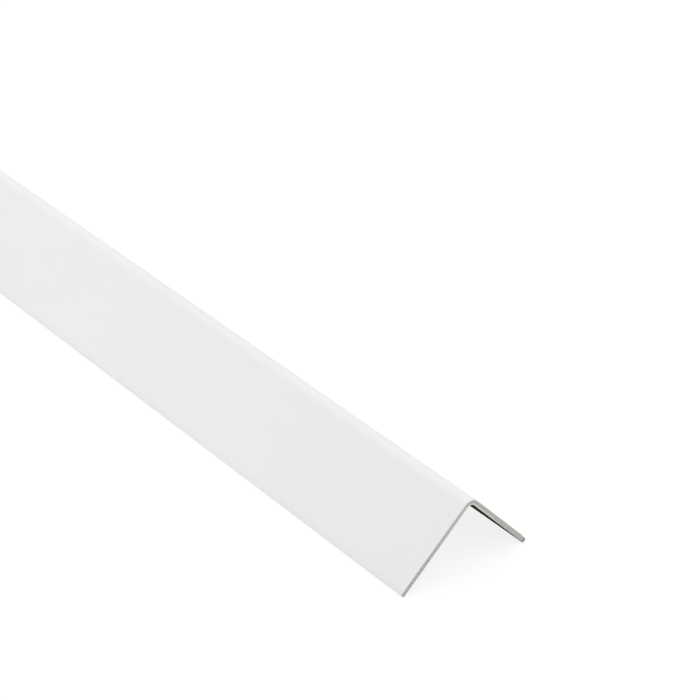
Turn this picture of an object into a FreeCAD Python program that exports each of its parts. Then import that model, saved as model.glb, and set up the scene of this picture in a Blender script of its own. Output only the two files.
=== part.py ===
# Corner guard moulding: one equal-leg angle, folded from sheet that is painted white outside.
#
# Millimetres, +Z up. The moulding lies on a floor as a roof does, on its two long edges, with its fold
# on top. X runs along its length, and the origin is on the floor, midway along it and between the edges.

import FreeCAD
import Part
import math
import os

# Driving dimensions
length = 1000.0             # of the bar, between its two square saw cuts
leg_width = 30.0            # of each leg, from the sharp outside corner to the leg's long edge
sheet_thickness = 1.5
inside_bend_radius = 1.5    # of the fold, on the inside
corner_angle = 90.0         # between the two legs, in degrees
edge_crown_width = 2.5      # strip beside each long edge where the painted face curves down to it
edge_crown_drop = 0.3       # how far the painted face has come down at that edge
outside_edge_radius = 0.3   # easing of each long edge on the painted side
inside_edge_radius = 0.3    # easing of each long edge on the wall side

# The crown and the two easings of one edge take at most these shares of the sheet, so they never meet
crown_limit = 0.25 * sheet_thickness
easing_limit = 0.35 * sheet_thickness
crown_drop = min(edge_crown_drop, crown_limit)
outside_easing = min(outside_edge_radius, easing_limit)
inside_easing = min(inside_edge_radius, easing_limit)

# The fold: its two arcs share one centre, and both end where the flat of a leg begins
half_angle = math.radians(corner_angle / 2)
outside_bend_radius = inside_bend_radius + sheet_thickness
flat_start = outside_bend_radius / math.tan(half_angle)

# The crown: one arc, tangent to the flat of the leg, which the outside easing meets from within
crown_start = leg_width - edge_crown_width
crown_radius = (edge_crown_width ** 2 + crown_drop ** 2) / (2 * crown_drop)
easing_inset = edge_crown_width - outside_easing
easing_depth = crown_radius - math.sqrt((crown_radius - outside_easing) ** 2 - easing_inset ** 2)
crown_turn = math.atan2(easing_inset, crown_radius - easing_depth)

# The moulding stands on the inside easing of its long edges, whose lowest lines are at the floor
easing_centre_drop = ((leg_width - inside_easing) * math.cos(half_angle)
                      + (sheet_thickness - inside_easing) * math.sin(half_angle))
corner_height = easing_centre_drop + inside_easing
bend_centre_height = corner_height - outside_bend_radius / math.sin(half_angle)


def leg_point(side, along, depth):
    """The point of a leg's section at a distance from the sharp outside corner and a depth in the sheet.

    side is 1 for the leg towards +Y and -1 for the other one.
    """
    y = along * math.sin(half_angle) - depth * math.cos(half_angle)
    z = corner_height - along * math.cos(half_angle) - depth * math.sin(half_angle)
    return FreeCAD.Vector(-length / 2, side * y, z)


def fold_top(radius):
    """The point of the fold's arc of this radius that lies straight above its centre."""
    return FreeCAD.Vector(-length / 2, 0, bend_centre_height + radius)


def line(start, end):
    return Part.LineSegment(start, end).toShape()


def arc(start, middle, end):
    return Part.Arc(start, middle, end).toShape()


def edge_arc(side, centre_along, centre_depth, radius, turn_start, turn_end):
    """An arc by a leg's long edge, between two turns of its outward side from the painted face."""
    turns = (turn_start, (turn_start + turn_end) / 2, turn_end)
    points = [
        leg_point(side, centre_along + radius * math.sin(turn), centre_depth - radius * math.cos(turn))
        for turn in turns
    ]
    return arc(*points)


def leg_edges(side):
    """The painted face of one leg, its crown, its eased long edge and its wall face."""
    edge_turn = math.radians(90)
    wall_turn = math.radians(180)
    inside_start = sheet_thickness - inside_easing
    inside_end = leg_width - inside_easing
    return [
        line(leg_point(side, flat_start, 0), leg_point(side, crown_start, 0)),
        edge_arc(side, crown_start, crown_radius, crown_radius, 0, crown_turn),
        edge_arc(side, leg_width - outside_easing, easing_depth, outside_easing, crown_turn, edge_turn),
        line(leg_point(side, leg_width, easing_depth), leg_point(side, leg_width, inside_start)),
        edge_arc(side, inside_end, inside_start, inside_easing, edge_turn, wall_turn),
        line(leg_point(side, inside_end, sheet_thickness), leg_point(side, flat_start, sheet_thickness)),
    ]


def fold_arc(radius, depth):
    """One arc of the fold, from the flat of the -Y leg over the top to the flat of the +Y leg."""
    return arc(leg_point(-1, flat_start, depth), fold_top(radius), leg_point(1, flat_start, depth))


def corner_guard():
    """The folded section, closed into a face and drawn out along the bar's length."""
    outside_fold = fold_arc(outside_bend_radius, 0)
    inside_fold = fold_arc(inside_bend_radius, sheet_thickness)
    edges = [outside_fold, inside_fold] + leg_edges(1) + leg_edges(-1)
    section = Part.Wire(Part.__sortEdges__(edges))
    return Part.Face(section).extrude(FreeCAD.Vector(length, 0, 0))


os.makedirs("parts", exist_ok=True)
guard = corner_guard()
guard.exportStep("parts/corner_guard.step")
print("corner_guard: valid", guard.isValid(), "volume", round(guard.Volume, 1), "mm3")
print("box", guard.BoundBox)
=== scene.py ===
import math

import bmesh
import bpy
from mathutils import Matrix, Vector


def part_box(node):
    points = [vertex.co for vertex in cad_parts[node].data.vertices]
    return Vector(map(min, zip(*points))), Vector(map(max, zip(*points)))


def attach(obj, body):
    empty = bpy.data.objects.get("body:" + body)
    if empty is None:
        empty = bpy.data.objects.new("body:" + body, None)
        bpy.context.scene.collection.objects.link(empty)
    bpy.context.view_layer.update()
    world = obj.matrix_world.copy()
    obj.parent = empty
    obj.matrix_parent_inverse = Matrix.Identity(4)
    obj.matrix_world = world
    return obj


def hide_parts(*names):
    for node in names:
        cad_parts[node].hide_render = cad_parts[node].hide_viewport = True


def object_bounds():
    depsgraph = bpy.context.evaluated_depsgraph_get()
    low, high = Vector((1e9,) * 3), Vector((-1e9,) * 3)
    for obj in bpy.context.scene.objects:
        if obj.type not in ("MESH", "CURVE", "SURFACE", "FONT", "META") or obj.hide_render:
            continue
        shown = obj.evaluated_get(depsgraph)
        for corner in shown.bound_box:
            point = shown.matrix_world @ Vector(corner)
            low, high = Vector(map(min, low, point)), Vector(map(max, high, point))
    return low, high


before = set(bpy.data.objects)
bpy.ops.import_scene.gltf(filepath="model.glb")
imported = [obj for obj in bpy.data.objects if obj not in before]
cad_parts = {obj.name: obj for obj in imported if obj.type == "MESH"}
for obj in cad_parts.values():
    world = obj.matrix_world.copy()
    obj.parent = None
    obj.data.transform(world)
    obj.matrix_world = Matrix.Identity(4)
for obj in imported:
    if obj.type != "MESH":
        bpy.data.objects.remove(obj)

cadLow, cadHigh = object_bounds()
print("frame loaded:", ", ".join(sorted(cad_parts)))

slope = math.sqrt(0.5)                    # the legs lie at 45 degrees, the corner is square
noiseSpread = (0.3, 0.7)                  # nearly all values of a noise texture lie between these
painted, wallSide, slit, sawn = range(4)  # the finishes, in the order of the piece's materials


# small helpers for the node trees

def setSocket(tree, socket, value):
    if isinstance(value, bpy.types.NodeSocket):
        tree.links.new(value, socket)
    else:
        socket.default_value = value


def addNode(tree, kind, place, **inputs):
    # an input goes by its name, with _ for a space, or by _ and its number
    node = tree.nodes.new(kind)
    node.location = place
    for name, value in inputs.items():
        key = int(name[1:]) if name[0] == "_" else name.replace("_", " ")
        setSocket(tree, node.inputs[key], value)
    return node


def addMath(tree, operation, place, a, b=None):
    node = addNode(tree, "ShaderNodeMath", place, _0=a)
    node.operation = operation
    if b is not None:
        setSocket(tree, node.inputs[1], b)
    return node.outputs[0]


def addRange(tree, place, value, given=(0.0, 1.0), wanted=(0.0, 1.0)):
    node = addNode(tree, "ShaderNodeMapRange", place, Value=value)
    for name, number in zip(("From Min", "From Max", "To Min", "To Max"), (*given, *wanted)):
        setSocket(tree, node.inputs[name], number)
    return node.outputs["Result"]


def addColourMix(tree, place, share, first, second):
    node = tree.nodes.new("ShaderNodeMix")
    node.data_type = "RGBA"
    node.location = place
    for index, value in zip((0, 6, 7), (share, first, second)):  # the factor and the two colour sockets
        setSocket(tree, node.inputs[index], value)
    return node.outputs[2]


def addSplit(tree, place, vector):
    return addNode(tree, "ShaderNodeSeparateXYZ", place, Vector=vector).outputs


def addJoin(tree, place, x, y, z):
    return addNode(tree, "ShaderNodeCombineXYZ", place, X=x, Y=y, Z=z).outputs[0]


def newGroup(name, numbers, outputs):
    # each group reads a vector and some numbers, and puts out values
    tree = bpy.data.node_groups.new(name, "ShaderNodeTree")
    tree.interface.new_socket("Vector", in_out="INPUT", socket_type="NodeSocketVector")
    for label, value in numbers.items():
        socket = tree.interface.new_socket(label, in_out="INPUT", socket_type="NodeSocketFloat")
        socket.default_value = value
    for label in outputs:
        tree.interface.new_socket(label, in_out="OUTPUT", socket_type="NodeSocketFloat")
    return tree, tree.nodes.new("NodeGroupInput").outputs, tree.nodes.new("NodeGroupOutput").inputs


def useGroup(tree, group, place, **inputs):
    node = tree.nodes.new("ShaderNodeGroup")
    node.node_tree = group
    node.location = place
    for name, value in inputs.items():
        setSocket(tree, node.inputs[name.replace("_", " ")], value)
    return node.outputs


def newMaterial(name):
    material = bpy.data.materials.new(name)
    material.use_nodes = True
    tree = material.node_tree
    tree.nodes.clear()
    shader = addNode(tree, "ShaderNodeBsdfPrincipled", (600, 0))
    addNode(tree, "ShaderNodeOutputMaterial", (900, 0), Surface=shader.outputs["BSDF"])
    coords = addNode(tree, "ShaderNodeTexCoord", (-900, 0))
    return material, tree, shader, coords.outputs["Object"]


def dressShader(tree, shader, rise, **inputs):
    # rise is the relief in metres, the rest goes to the shader's own sockets
    bump = addNode(tree, "ShaderNodeBump", (420, -200), Strength=1.0, Distance=1.0, Height=rise)
    setSocket(tree, shader.inputs["Normal"], bump.outputs["Normal"])
    for name, value in inputs.items():
        setSocket(tree, shader.inputs[name.replace("_", " ")], value)


# the effects that the finishes are made of

def makeMottleGroup():
    # soft spots of a given size
    tree, given, out = newGroup("surfaceMottle", {"Size": 0.002, "Detail": 2.0}, ["Value"])
    scale = addMath(tree, "DIVIDE", (-400, -100), 1.0, given["Size"])
    noise = addNode(tree, "ShaderNodeTexNoise", (-200, 0), Vector=given["Vector"], Scale=scale,
                    Detail=given["Detail"], Roughness=0.5)
    setSocket(tree, out["Value"], addRange(tree, (0, 0), noise.outputs[0], noiseSpread))
    return tree


def makeStreakGroup():
    # long thin streaks along X
    tree, given, out = newGroup("drawnStreaks", {"Length": 0.2, "Width": 0.0006}, ["Value"])
    split = addSplit(tree, (-600, 0), given["Vector"])
    along = addMath(tree, "DIVIDE", (-400, 100), split["X"], given["Length"])
    across = addMath(tree, "DIVIDE", (-400, 0), split["Y"], given["Width"])
    rise = addMath(tree, "DIVIDE", (-400, -100), split["Z"], given["Width"])
    drawn = addJoin(tree, (-200, 0), along, across, rise)
    noise = addNode(tree, "ShaderNodeTexNoise", (0, 0), Vector=drawn, Scale=1.0, Detail=3.0, Roughness=0.55)
    setSocket(tree, out["Value"], addRange(tree, (200, 0), noise.outputs[0], noiseSpread))
    return tree


def makeSectionGroup():
    # where a point lies in the folded section: how deep below the painted face, how far along its leg
    # from the fold, and on which leg
    tree, given, out = newGroup(
        "sheetSection",
        {"Fold Height": 0.018, "Fold Radius": 0.003, "Crown Start": 0.0245, "Crown Radius": 0.0106},
        ["Depth", "Along", "Side"],
    )
    split = addSplit(tree, (-900, 0), given["Vector"])
    side = addMath(tree, "SIGN", (-700, 200), split["Y"])
    spread = addMath(tree, "ABSOLUTE", (-700, 0), split["Y"])
    rise = addMath(tree, "SUBTRACT", (-700, -200), split["Z"], given["Fold Height"])
    outward = addMath(tree, "ADD", (-500, 100), spread, rise)
    outward = addMath(tree, "MULTIPLY", (-300, 100), outward, slope)
    along = addMath(tree, "SUBTRACT", (-500, -100), spread, rise)
    along = addMath(tree, "MULTIPLY", (-300, -100), along, slope)

    # in the fold the depth runs towards its centre, on a leg square to the leg
    inFold = addMath(tree, "MINIMUM", (-100, -100), along, 0.0)
    reach = addNode(tree, "ShaderNodeVectorMath", (200, 0), _0=addJoin(tree, (50, 0), outward, inFold, 0.0))
    reach.operation = "LENGTH"
    depth = addMath(tree, "SUBTRACT", (400, 0), given["Fold Radius"], reach.outputs["Value"])

    # less what the painted face has come down in its crown
    past = addMath(tree, "SUBTRACT", (50, -250), along, given["Crown Start"])
    past = addMath(tree, "MAXIMUM", (200, -250), past, 0.0)
    square = addMath(tree, "MULTIPLY", (350, -250), past, past)
    across = addMath(tree, "MULTIPLY", (350, -400), given["Crown Radius"], 2.0)
    sunk = addMath(tree, "DIVIDE", (500, -250), square, across)
    depth = addMath(tree, "SUBTRACT", (600, 0), depth, sunk)
    for label, value in (("Depth", depth), ("Along", along), ("Side", side)):
        setSocket(tree, out[label], value)
    return tree


def makeChipGroup():
    # a ragged rim, where the saw has broken specks out of a coating
    chipSpread = (0.4, 0.75)              # noise that bites not at all, and all the way
    tree, given, out = newGroup("rimChips", {"Half Length": 0.5, "Reach": 0.0002, "Size": 0.0004}, ["Mask"])
    fromMiddle = addMath(tree, "ABSOLUTE", (-500, 0), addSplit(tree, (-700, 0), given["Vector"])["X"])
    fromEnd = addMath(tree, "SUBTRACT", (-300, 0), given["Half Length"], fromMiddle)
    scale = addMath(tree, "DIVIDE", (-500, -200), 1.0, given["Size"])
    noise = addNode(tree, "ShaderNodeTexNoise", (-300, -200), Vector=given["Vector"], Scale=scale, Detail=2.0)
    bite = addRange(tree, (-200, -350), noise.outputs[0], chipSpread)
    bite = addMath(tree, "MULTIPLY", (-100, -200), bite, given["Reach"])
    setSocket(tree, out["Mask"], addMath(tree, "LESS_THAN", (100, 0), fromEnd, bite))
    return tree


mottleGroup = makeMottleGroup()
streakGroup = makeStreakGroup()
sectionGroup = makeSectionGroup()
chipGroup = makeChipGroup()


whiteLacquer = {
    "colour": (0.835, 0.835, 0.845, 1),
    "shade": (0.818, 0.818, 0.829, 1),    # the faint clouding in the film
    "bare": (0.50, 0.49, 0.465, 1),       # sheet that shows where the saw has chipped the film
    "cloudSize": 0.045,
    "roughness": (0.36, 0.44),
    "peelSize": 0.0016,                   # orange peel, crest to crest
    "peelDepth": 0.0000012,
    "rollLength": 0.30,                   # faint lines from the coating roller, along the strip
    "rollWidth": 0.0012,
    "rollDepth": 0.0000006,
    "chipReach": 0.00010,
    "chipSize": 0.00035,
}


def makeWhiteLacquer(s, halfLength):
    material, tree, shader, coords = newMaterial("white_lacquer")
    cloud = useGroup(tree, mottleGroup, (-600, 200), Vector=coords, Size=s["cloudSize"], Detail=3.0)["Value"]
    peel = useGroup(tree, mottleGroup, (-600, -100), Vector=coords, Size=s["peelSize"], Detail=1.0)["Value"]
    roll = useGroup(tree, streakGroup, (-600, -300), Vector=coords, Length=s["rollLength"],
                    Width=s["rollWidth"])["Value"]
    chip = useGroup(tree, chipGroup, (-600, 400), Vector=coords, Half_Length=halfLength, Reach=s["chipReach"],
                    Size=s["chipSize"])["Mask"]
    film = addColourMix(tree, (-200, 200), cloud, s["colour"], s["shade"])
    colour = addColourMix(tree, (0, 300), chip, film, s["bare"])
    sheen = addMath(tree, "MULTIPLY", (-400, 0), cloud, roll)
    roughness = addRange(tree, (-200, 0), sheen, wanted=s["roughness"])
    peelRise = addMath(tree, "MULTIPLY", (-400, -150), peel, s["peelDepth"])
    rollRise = addMath(tree, "MULTIPLY", (-400, -300), roll, s["rollDepth"])
    rise = addMath(tree, "ADD", (-200, -200), peelRise, rollRise)
    dressShader(tree, shader, rise, Base_Color=colour, Roughness=roughness)
    return material


def addSection(tree, place, coords, g):
    return useGroup(tree, sectionGroup, place, Vector=coords, Fold_Height=foldHeight(g),
                    Fold_Radius=g["foldRadius"], Crown_Radius=crownRadius(g),
                    Crown_Start=g["legWidth"] - g["foldRadius"] - g["crownWidth"])


wallCoat = {
    # near black: the wall side's backing coat, darkened past its own tone as painted shade inside the angle
    "colour": (0.034, 0.0285, 0.0220, 1),
    "rubbed": (0.060, 0.052, 0.0430, 1),  # paler where the strip has slid along the rolls
    "foldHighlight": (0.220, 0.194, 0.152, 1),     # painted highlight: paler by the fold, for the light that the inner bend catches
    "highlightAlong": (0.0005, 0.0060),        # from the fold
    "highlightShare": (0.55, 1.0),             # least and most, streak by streak
    "roughness": (0.74, 0.90),
    "gloss": 0.004,                       # next to none
    "streakLength": 0.12,
    "streakWidth": 0.0007,
    "grainSize": 0.0005,
    "grainDepth": 0.000004,
}


def makeWallCoat(s, g):
    material, tree, shader, coords = newMaterial("wall_side_coat")
    along = addSection(tree, (-900, -300), coords, g)["Along"]
    streak = useGroup(tree, streakGroup, (-600, 200), Vector=coords, Length=s["streakLength"],
                      Width=s["streakWidth"])["Value"]
    grain = useGroup(tree, mottleGroup, (-600, -100), Vector=coords, Size=s["grainSize"], Detail=2.0)["Value"]
    coat = addColourMix(tree, (-200, 200), streak, s["colour"], s["rubbed"])
    # painted highlight along the fold on the wall side, in streaks
    nearFold = addRange(tree, (-600, 400), along, s["highlightAlong"], (1.0, 0.0))
    uneven = addRange(tree, (-600, 600), streak, wanted=s["highlightShare"])
    highlight = addMath(tree, "MULTIPLY", (-400, 400), nearFold, uneven)
    colour = addColourMix(tree, (0, 200), highlight, coat, s["foldHighlight"])
    roughness = addRange(tree, (-200, 0), grain, wanted=s["roughness"])
    rise = addMath(tree, "MULTIPLY", (-200, -200), grain, s["grainDepth"])
    dressShader(tree, shader, rise, Base_Color=colour, Roughness=roughness, Specular_IOR_Level=s["gloss"])
    return material


slitEdge = {
    "colour": (0.50, 0.49, 0.465, 1),
    "scored": (0.38, 0.37, 0.35, 1),
    "metallic": 0.85,
    "roughness": (0.38, 0.55),
    "streakLength": 0.02,
    "streakWidth": 0.00018,
    "streakDepth": 0.000008,
}


def makeSlitEdge(s):
    material, tree, shader, coords = newMaterial("slit_edge")
    streak = useGroup(tree, streakGroup, (-600, 100), Vector=coords, Length=s["streakLength"],
                      Width=s["streakWidth"])["Value"]
    colour = addColourMix(tree, (-200, 200), streak, s["colour"], s["scored"])
    roughness = addRange(tree, (-200, 0), streak, wanted=s["roughness"])
    rise = addMath(tree, "MULTIPLY", (-200, -200), streak, s["streakDepth"])
    dressShader(tree, shader, rise, Base_Color=colour, Roughness=roughness, Metallic=s["metallic"])
    return material


sawCut = {
    "colour": (0.545, 0.535, 0.500, 1),
    "scored": (0.398, 0.388, 0.358, 1),
    "burr": (0.76, 0.735, 0.70, 1),       # brighter line by the fold, where the blade has left the sheet
    "rim": (0.23, 0.224, 0.210, 1),       # darker line at each long edge, at the tips of the cut
    "metallic": 0.85,
    "roughness": (0.42, 0.60),
    "toothPitch": 0.00075,                # marks across the sheet, plainest towards the long edges
    "toothSlant": 0.15,
    "toothDrift": 6.0,                    # unevenness of that pitch
    "toothShare": (0.65, 1.0),            # how plain they are on the -Y leg and on the other
    "driftLength": 0.00225,
    "drawPitch": 0.00045,                 # marks along the leg, plainest by the fold
    "drawLength": 0.010,
    "clearAlong": (0.004, 0.018),         # from the fold: where the one kind gives way to the other
    "markDepth": 0.000012,
    "burrInset": 0.00024,                 # from the wall side
    "burrWidth": 0.00026,
    "rimAlong": (0.0010, 0.0005),         # from the long edge: where the darker line starts, and is full
    "rimShare": (0.25, 1.0),              # how dark it is on the -Y leg and on the other
    "film": 0.00007,                      # the lacquer, seen edge-on
    "filmBlur": 0.2,                      # share of it over which it fades out
}


def makeSawCut(s, g, lacquer):
    material, tree, shader, coords = newMaterial("saw_cut")
    section = addSection(tree, (-900, -200), coords, g)
    depth, along, side = section["Depth"], section["Along"], section["Side"]
    clear = addRange(tree, (-100, -450), along, s["clearAlong"])

    # tooth marks across the sheet
    apart = addMath(tree, "MULTIPLY", (-700, 0), side, g["legWidth"])       # so that the two legs differ
    slant = addMath(tree, "MULTIPLY", (-700, -150), depth, s["toothSlant"])
    crossing = addMath(tree, "ADD", (-550, 0), along, apart)
    crossing = addMath(tree, "ADD", (-400, 0), crossing, slant)
    wander = addNode(tree, "ShaderNodeTexNoise", (-250, 150), Scale=1 / s["driftLength"], Detail=2.0)
    wander.noise_dimensions = "1D"
    setSocket(tree, wander.inputs["W"], crossing)
    drift = addRange(tree, (-70, 150), wander.outputs[0], noiseSpread)
    drift = addMath(tree, "MULTIPLY", (0, 150), drift, s["toothDrift"])
    phase = addMath(tree, "MULTIPLY", (-250, 0), crossing, 2 * math.pi / s["toothPitch"])
    wave = addMath(tree, "SINE", (150, 50), addMath(tree, "ADD", (80, 50), phase, drift))
    plain = addRange(tree, (80, 250), side, (-1.0, 1.0), s["toothShare"])
    teeth = addRange(tree, (300, 50), addMath(tree, "MULTIPLY", (220, 50), wave, plain), (-1.0, 1.0))

    # marks along the leg, which run on round the fold
    split = addSplit(tree, (-700, -300), coords)
    drawn = addJoin(tree, (-500, -300), split["Y"], depth, split["X"])
    lines = useGroup(tree, streakGroup, (-250, -250), Vector=drawn, Length=s["drawLength"],
                     Width=s["drawPitch"])["Value"]
    mark = addNode(tree, "ShaderNodeMix", (80, -100), _0=clear, _2=lines, _3=teeth).outputs[0]

    # the burr by the fold, the film and the darker tips
    burrAway = addMath(tree, "SUBTRACT", (-250, -650), depth, g["sheet"] - s["burrInset"])
    burrAway = addMath(tree, "ABSOLUTE", (-100, -650), burrAway)
    burrLine = addRange(tree, (80, -650), burrAway, (0.0, s["burrWidth"]), (1.0, 0.0))
    byFold = addRange(tree, (80, -500), clear, wanted=(1.0, 0.0))
    burr = addMath(tree, "MULTIPLY", (250, -650), burrLine, byFold)
    filmEnds = [s["film"] * (1 - s["filmBlur"]), s["film"] * (1 + s["filmBlur"])]
    film = addRange(tree, (80, -850), depth, filmEnds, (1.0, 0.0))
    tip = g["legWidth"] - g["foldRadius"]
    rim = addRange(tree, (80, -1050), along, [tip - away for away in s["rimAlong"]])
    tipDarkening = addRange(tree, (250, 600), side, (-1.0, 1.0), s["rimShare"])
    tipDarkening = addMath(tree, "MULTIPLY", (330, 450), rim, tipDarkening)

    metal = addColourMix(tree, (250, 200), mark, s["colour"], s["scored"])
    edged = addColourMix(tree, (330, 200), burr, metal, s["burr"])
    filmed = addColourMix(tree, (400, 300), film, edged, lacquer["colour"])
    colour = addColourMix(tree, (500, 300), tipDarkening, filmed, s["rim"])
    roughness = addRange(tree, (250, 0), mark, wanted=s["roughness"])
    metallic = addRange(tree, (250, -400), film, wanted=(s["metallic"], 0.0))
    rise = addMath(tree, "MULTIPLY", (250, -200), mark, s["markDepth"])
    dressShader(tree, shader, rise, Base_Color=colour, Roughness=roughness, Metallic=metallic)
    return material


guard = {
    "node": "corner_guard",
    "legWidth": 0.030,                    # sharp outside corner to long edge
    "sheet": 0.0015,
    "foldRadius": 0.003,                  # outside of the fold
    "foldSegments": 24,
    "crownWidth": 0.0025,                 # strip by a long edge where the painted face curves down
    "crownDrop": 0.0003,
    "crownSegments": 8,
    "paintedEase": 0.0003,                # easing of a long edge, painted side
    "wallEase": 0.0003,                   # easing of a long edge, wall side
    "easeSegments": 6,
    "cutEase": 0.00010,                   # burr rubbed off the rim of each saw cut
    "cutSegments": 2,
    "sideLook": 0.35,                     # a face this far turned to a side has that side's finish
    "sawnLook": 0.3,                      # and this far to an end, that of the saw cut
    "sharpAngle": 35,                     # degrees, past which an edge is shaded sharp
    "mapMargin": 0.006,                   # left free at the sides of the bake map
    "faceBands": ((0.01, 0.42), (0.44, 0.70)),        # bands of the bake map: painted side, wall side
    "slitBands": ((0.715, 0.730), (0.745, 0.760)),    # the two long edges
    "cutBands": ((0.78, 0.87), (0.89, 0.98)),         # the two saw cuts, spread far larger than the rest
}


def sharpHeight(g):
    # of the outside corner as if it were not rounded, with the long edges on the floor
    return (g["legWidth"] + g["sheet"] - 2 * g["wallEase"]) * slope + g["wallEase"]


def foldHeight(g):
    return sharpHeight(g) - g["foldRadius"] * math.sqrt(2)


def crownRadius(g):
    return (g["crownWidth"] ** 2 + g["crownDrop"] ** 2) / (2 * g["crownDrop"])


def legPoint(g, side, along, depth, x=0.0):
    # along is measured down a leg from that corner, depth into the sheet from the painted face
    return Vector((x, side * (along - depth) * slope, sharpHeight(g) - (along + depth) * slope))


def outwardAt(g, place):
    # the way the painted side looks: square to a leg, and away from the fold's centre in the fold
    rise = place.z - foldHeight(g)
    if rise > abs(place.y):
        return Vector((0, place.y, rise)).normalized()
    return Vector((0, math.copysign(1, place.y), 1)).normalized()


def longEdgesAt(bm, place):
    # the edges that run along the bar through this point of its section
    longEnough, nearEnough = 0.1, 0.000001
    return [
        e for e in bm.edges
        if abs(e.verts[0].co.x - e.verts[1].co.x) > longEnough
        and all((v.co.yz - place.yz).length < nearEnough for v in e.verts)
    ]


def bevelEdges(bm, edges, offset, segments):
    bmesh.ops.bevel(bm, geom=edges, offset=offset, offset_type="OFFSET", segments=segments, profile=0.5,
                    affect="EDGES", material=-1, clamp_overlap=False)


def crownLegs(bm, g):
    # cuts the painted faces into narrow strips beside each long edge, then lets them down onto the curve
    flatOn = 0.9                          # of a face's normal, along the way its leg looks
    radius = crownRadius(g)
    rows = []
    for side in (-1, 1):
        outward = Vector((0, side, 1)).normalized()
        downLeg = Vector((0, side, -1)).normalized()
        for step in range(g["crownSegments"]):
            past = g["crownWidth"] * step / g["crownSegments"]
            place = legPoint(g, side, g["legWidth"] - g["crownWidth"] + past, 0)
            bm.normal_update()
            faces = [f for f in bm.faces if f.normal.dot(outward) > flatOn]
            around = dict.fromkeys(part for f in faces for part in (*f.edges, *f.verts))
            cut = bmesh.ops.bisect_plane(bm, geom=[*faces, *around], plane_co=place, plane_no=downLeg)
            rows.append((outward, past, [v for v in cut["geom_cut"] if isinstance(v, bmesh.types.BMVert)]))
        tip = longEdgesAt(bm, legPoint(g, side, g["legWidth"], 0))
        rows.append((outward, g["crownWidth"], [v for e in tip for v in e.verts]))
    for outward, past, verts in rows:
        drop = radius - math.sqrt(radius ** 2 - past ** 2)
        bmesh.ops.translate(bm, verts=verts, vec=outward * -drop)


def isRim(edge):
    # between the flat of a saw cut and a long face
    flatOn = 0.9
    ends = [abs(f.normal.x) > flatOn for f in edge.link_faces]
    return len(ends) == 2 and ends[0] != ends[1]


def finishOf(g, face):
    outward = outwardAt(g, face.calc_center_median()).dot(face.normal)
    if outward < -g["sideLook"]:
        return wallSide
    if abs(face.normal.x) > g["sawnLook"]:
        return sawn
    return painted if outward > g["sideLook"] else slit


def unroll(g, place):
    # distance from the crest of the fold round the painted side, and depth below that side
    spread, rise = abs(place.y), place.z - foldHeight(g)
    along, outward = (spread - rise) * slope, (spread + rise) * slope
    if along > 0:
        return g["foldRadius"] * math.pi / 4 + along, g["foldRadius"] - outward
    return g["foldRadius"] * math.atan2(spread, rise), g["foldRadius"] - math.hypot(spread, rise)


def layOutMap(bm, g, halfLength):
    # a map for baking, in which the narrow saw cuts get room for their marks
    layer = bm.loops.layers.uv.new("OFBake")
    halfWidth = g["legWidth"] - g["foldRadius"] * (1 - math.pi / 4)
    for face in bm.faces:
        centre = face.calc_center_median()
        finish = face.material_index
        for loop in face.loops:
            away, depth = unroll(g, loop.vert.co)
            lengthwise = 0.5 + loop.vert.co.x / (2 * halfLength)
            around = 0.5 + math.copysign(away, centre.y) / (2 * halfWidth)
            if finish == sawn:
                u, v, band = around, depth / g["sheet"], g["cutBands"][centre.x > 0]
            elif finish == slit:
                u, v, band = lengthwise, depth / g["sheet"], g["slitBands"][centre.y > 0]
            else:
                u, v, band = lengthwise, around, g["faceBands"][finish]
            low, high = band
            loop[layer].uv = g["mapMargin"] + u * (1 - 2 * g["mapMargin"]), low + v * (high - low)


def cornersOf(part):
    return sorted(v.index for v in part.verts)


def sortMesh(bm):
    # into a fixed order, because a bevel's own order changes from run to run
    for parts, key in ((bm.verts, lambda v: tuple(v.co)), (bm.edges, cornersOf), (bm.faces, cornersOf)):
        rank = {part: n for n, part in enumerate(sorted(parts, key=key))}
        parts.sort(key=rank.get)
        parts.index_update()


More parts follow.
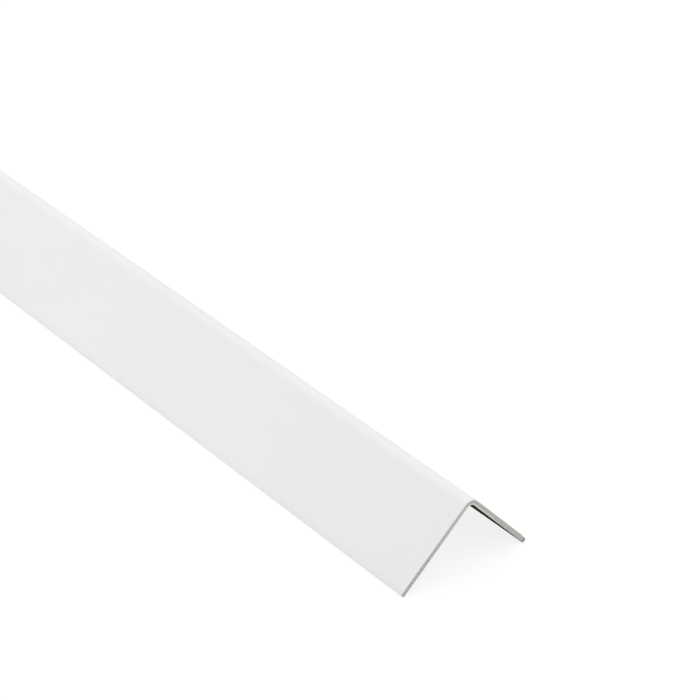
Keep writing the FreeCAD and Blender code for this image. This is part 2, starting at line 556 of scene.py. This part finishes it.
def makeGuard(g, materials):
    # the strip's outline at one end, drawn out along the bar
    low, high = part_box(g["node"])
    bm = bmesh.new()
    outline = [legPoint(g, side, g["legWidth"] * abs(side), 0, low.x) for side in (-1, 0, 1)]
    corners = [bm.verts.new(place) for place in outline]
    strip = [bm.edges.new(pair) for pair in zip(corners, corners[1:])]
    drawn = bmesh.ops.extrude_edge_only(bm, edges=strip)["geom"]
    farEnd = [v for v in drawn if isinstance(v, bmesh.types.BMVert)]
    bmesh.ops.translate(bm, verts=farEnd, vec=(high.x - low.x, 0, 0))
    bmesh.ops.recalc_face_normals(bm, faces=bm.faces[:])
    if sum(f.normal.z for f in bm.faces) < 0:
        bmesh.ops.reverse_faces(bm, faces=bm.faces[:])

    # fold, give the sheet its thickness inwards, then ease the long edges and the saw cuts
    bevelEdges(bm, longEdgesAt(bm, legPoint(g, 1, 0, 0)), g["foldRadius"], g["foldSegments"])
    bmesh.ops.solidify(bm, geom=bm.faces[:], thickness=g["sheet"])
    crownLegs(bm, g)
    crownTurn = math.asin(g["crownWidth"] / crownRadius(g))
    crownOffset = g["paintedEase"] * math.tan((math.pi / 2 - crownTurn) / 2)
    for depth, offset in ((g["crownDrop"], crownOffset), (g["sheet"], g["wallEase"])):
        tips = [e for side in (-1, 1) for e in longEdgesAt(bm, legPoint(g, side, g["legWidth"], depth))]
        bevelEdges(bm, tips, offset, g["easeSegments"])
    bm.normal_update()
    bevelEdges(bm, [e for e in bm.edges if isRim(e)], g["cutEase"], g["cutSegments"])
    bm.normal_update()

    # each face takes its finish from the way it looks
    for face in bm.faces:
        face.smooth = True
        face.material_index = finishOf(g, face)
    layOutMap(bm, g, high.x)
    sortMesh(bm)
    mesh = bpy.data.meshes.new("folded_angle")
    bm.to_mesh(mesh)
    bm.free()
    for material in materials:
        mesh.materials.append(material)
    mesh.set_sharp_from_angle(angle=math.radians(g["sharpAngle"]))
    piece = bpy.data.objects.new("folded_angle", mesh)
    bpy.context.scene.collection.objects.link(piece)
    flats = piece.modifiers.new("flatFaces", "WEIGHTED_NORMAL")
    flats.keep_sharp = True
    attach(piece, "root")
    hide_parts(g["node"])
    print("folded angle:", len(mesh.polygons), "faces")


finishes = [makeWhiteLacquer(whiteLacquer, cadHigh.x), makeWallCoat(wallCoat, guard), makeSlitEdge(slitEdge),
            makeSawCut(sawCut, guard, whiteLacquer)]
print("finishes:", ", ".join(material.name for material in finishes))
makeGuard(guard, finishes)


studio = {
    "floorSize": 60.0,
    "floorColour": (0.88, 0.88, 0.88, 1),   # as the object sees it
    "cameraShare": 0.20,                    # of the floor's own shading that the camera sees
    "cameraWhite": 0.86,                    # plain white added to it for the camera
    "ambient": 0.68,
    "sunStrength": 1.115,
    "sunAngle": 75,                         # degrees, wide, so its shadow is soft
    "fillPlace": (0, -0.45, 0.15),          # a soft box in front of the bar, nearly as long
    "fillSize": (0.90, 0.20),
    "fillSpread": 30,                       # degrees, held by its grid
    "fillPower": 0.028,
}


def addSeen(tree):
    # 1 for the rays that see the background itself, 0 for those that only take light from it
    path = addNode(tree, "ShaderNodeLightPath", (-600, 300)).outputs
    seen = addMath(tree, "MAXIMUM", (-400, 300), path["Is Camera Ray"], path["Is Glossy Ray"])
    return addMath(tree, "MAXIMUM", (-200, 300), seen, path["Is Transmission Ray"])


def makeFloor(s):
    mesh = bpy.data.meshes.new("floor")
    bm = bmesh.new()
    bmesh.ops.create_grid(bm, x_segments=1, y_segments=1, size=s["floorSize"] / 2)
    bm.to_mesh(mesh)
    bm.free()
    floor = bpy.data.objects.new("floor", mesh)
    bpy.context.scene.collection.objects.link(floor)
    material = bpy.data.materials.new("floor")
    material.use_nodes = True
    tree = material.node_tree
    tree.nodes.clear()
    faint = [c * s["cameraShare"] for c in s["floorColour"][:3]] + [1]
    shaded = addNode(tree, "ShaderNodeBsdfDiffuse", (-400, 100), Color=faint)
    white = addNode(tree, "ShaderNodeEmission", (-400, -50), Color=(1, 1, 1, 1), Strength=s["cameraWhite"])
    both = addNode(tree, "ShaderNodeAddShader", (-200, 50), _0=shaded.outputs[0], _1=white.outputs[0])
    plain = addNode(tree, "ShaderNodeBsdfDiffuse", (-200, -150), Color=s["floorColour"])
    mix = addNode(tree, "ShaderNodeMixShader", (0, 0), _0=addSeen(tree), _1=plain.outputs[0],
                  _2=both.outputs[0])
    addNode(tree, "ShaderNodeOutputMaterial", (200, 0), Surface=mix.outputs[0])
    mesh.materials.append(material)


def makeWorld(s):
    world = bpy.data.worlds.new("studio")
    bpy.context.scene.world = world
    world.use_nodes = True
    tree = world.node_tree
    tree.nodes.clear()
    strength = addRange(tree, (0, 300), addSeen(tree), wanted=(s["ambient"], 1.0))
    light = addNode(tree, "ShaderNodeBackground", (200, 300), Color=(1, 1, 1, 1), Strength=strength)
    addNode(tree, "ShaderNodeOutputWorld", (400, 300), Surface=light.outputs[0])


def makeLamps(s):
    sun = bpy.data.lights.new("overhead", "SUN")
    sun.energy = s["sunStrength"]
    sun.angle = math.radians(s["sunAngle"])
    overhead = bpy.data.objects.new("overhead", sun)
    overhead.visible_glossy = False         # else it draws a bright stripe along the fold
    bpy.context.scene.collection.objects.link(overhead)
    panel = bpy.data.lights.new("fill", "AREA")
    panel.energy = s["fillPower"]
    panel.shape = "RECTANGLE"
    panel.size, panel.size_y = s["fillSize"]
    panel.spread = math.radians(s["fillSpread"])
    lamp = bpy.data.objects.new("fill", panel)
    lamp.location = s["fillPlace"]
    aim = Vector((lamp.location.x, 0, 0)) - lamp.location
    lamp.rotation_euler = aim.to_track_quat("-Z", "Y").to_euler()
    lamp.visible_camera = False
    bpy.context.scene.collection.objects.link(lamp)


photoView = {
    "frame": 700,                           # pixels, square
    "focal": 2328.4,                        # pixels
    "sensor": 36,
    "clip": (0.02, 100),
    "azimuth": 48.53,                       # degrees, and so are the next two
    "elevation": 30.53,
    "roll": 3.78,
    "endPixel": (464.54, 569.34),           # where the near end's middle meets the floor
    "endDistance": 0.58416,                 # along the view
}


def makeCamera(v):
    data = bpy.data.cameras.new("photoView")
    data.sensor_width = v["sensor"]
    data.lens = v["focal"] * v["sensor"] / v["frame"]
    data.clip_start, data.clip_end = v["clip"]
    azimuth, elevation = math.radians(v["azimuth"]), math.radians(v["elevation"])
    level = math.cos(elevation)
    back = Vector((math.sin(azimuth) * level, -math.cos(azimuth) * level, math.sin(elevation)))
    right = Vector((math.cos(azimuth), math.sin(azimuth), 0))
    upright = Matrix((right, back.cross(right), back)).transposed()
    turn = upright @ Matrix.Rotation(math.radians(v["roll"]), 3, "Z")
    across, down = ((p - v["frame"] / 2) / v["focal"] * v["endDistance"] for p in v["endPixel"])
    foot = Vector((cadHigh.x, 0, 0))
    place = foot - turn @ Vector((across, -down, -v["endDistance"]))
    camera = bpy.data.objects.new("photoView", data)
    camera.matrix_world = Matrix.Translation(place) @ turn.to_4x4()
    bpy.context.scene.collection.objects.link(camera)
    bpy.context.scene.camera = camera


makeFloor(studio)
makeWorld(studio)
makeLamps(studio)
makeCamera(photoView)
bpy.context.scene.view_settings.view_transform = "Standard"
print("studio and camera set")
